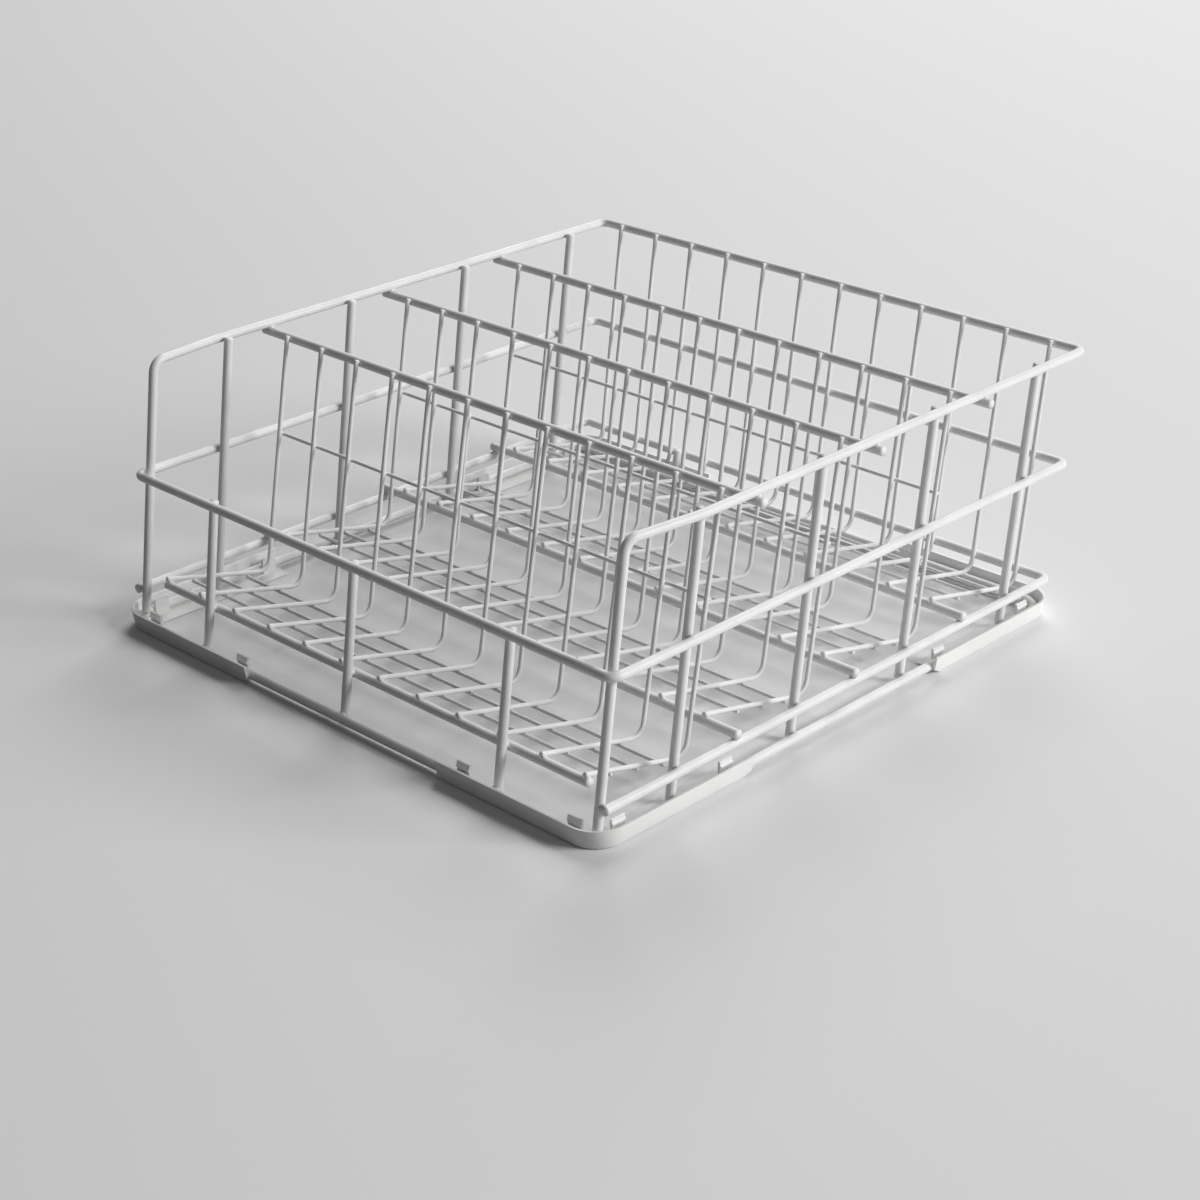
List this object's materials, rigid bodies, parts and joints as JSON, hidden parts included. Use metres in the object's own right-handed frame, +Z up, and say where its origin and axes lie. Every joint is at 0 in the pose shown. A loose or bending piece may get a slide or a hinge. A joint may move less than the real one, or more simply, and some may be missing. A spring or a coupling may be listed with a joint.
{
  "type": "dishwasher glass rack",
  "caption": "Basket of welded, plastic-coated steel wire with leaning rows of bent wires that hold glasses, standing on clip-on corner guards.",
  "frame": {"origin": "middle of the rack's box in X and Y, on the floor under the corner guards", "axes": "+X to the rack's right, +Y to its back, the way the rows lean, +Z up"},
  "size_m": [0.5, 0.5226, 0.2044],
  "materials": {
    "wire_coating": "white satin plastic coating on steel wire",
    "guard_plastic": "white moulded plastic, satin"
  },
  "bodies": {
    "root": {"back_post_left": "wire_coating", "back_post_right": "wire_coating", "base_ring": "wire_coating", "corner_guard_back_left": "guard_plastic", "corner_guard_back_right": "guard_plastic", "corner_guard_front_left": "guard_plastic", "corner_guard_front_right": "guard_plastic", "cross_bar_1": "wire_coating", "cross_bar_2": "wire_coating", "cross_bar_3": "wire_coating", "cross_bar_4": "wire_coating", "divider_bar_1": "wire_coating", "divider_bar_2": "wire_coating", "divider_bar_3": "wire_coating", "divider_rod_1": "wire_coating", "divider_rod_2": "wire_coating", "divider_rod_3": "wire_coating", "floor_rod_1_1": "wire_coating", "floor_rod_1_2": "wire_coating", "floor_rod_1_3": "wire_coating", "floor_rod_2_1": "wire_coating", "floor_rod_2_2": "wire_coating", "floor_rod_2_3": "wire_coating", "floor_rod_3_1": "wire_coating", "floor_rod_3_2": "wire_coating", "floor_rod_3_3": "wire_coating", "floor_rod_4_1": "wire_coating", "floor_rod_4_2": "wire_coating", "floor_rod_4_3": "wire_coating", "front_post_1": "wire_coating", "front_post_2": "wire_coating", "front_post_3": "wire_coating", "glass_wires_row_1": "wire_coating", "glass_wires_row_2": "wire_coating", "glass_wires_row_3": "wire_coating", "glass_wires_row_4": "wire_coating", "lower_rail": "wire_coating", "mid_ring": "wire_coating", "side_post_left_1": "wire_coating", "side_post_left_2": "wire_coating", "side_post_left_3": "wire_coating", "side_post_left_4": "wire_coating", "side_post_right_1": "wire_coating", "side_post_right_2": "wire_coating", "side_post_right_3": "wire_coating", "side_post_right_4": "wire_coating", "top_rail": "wire_coating"}
  },
  "joints": []
}
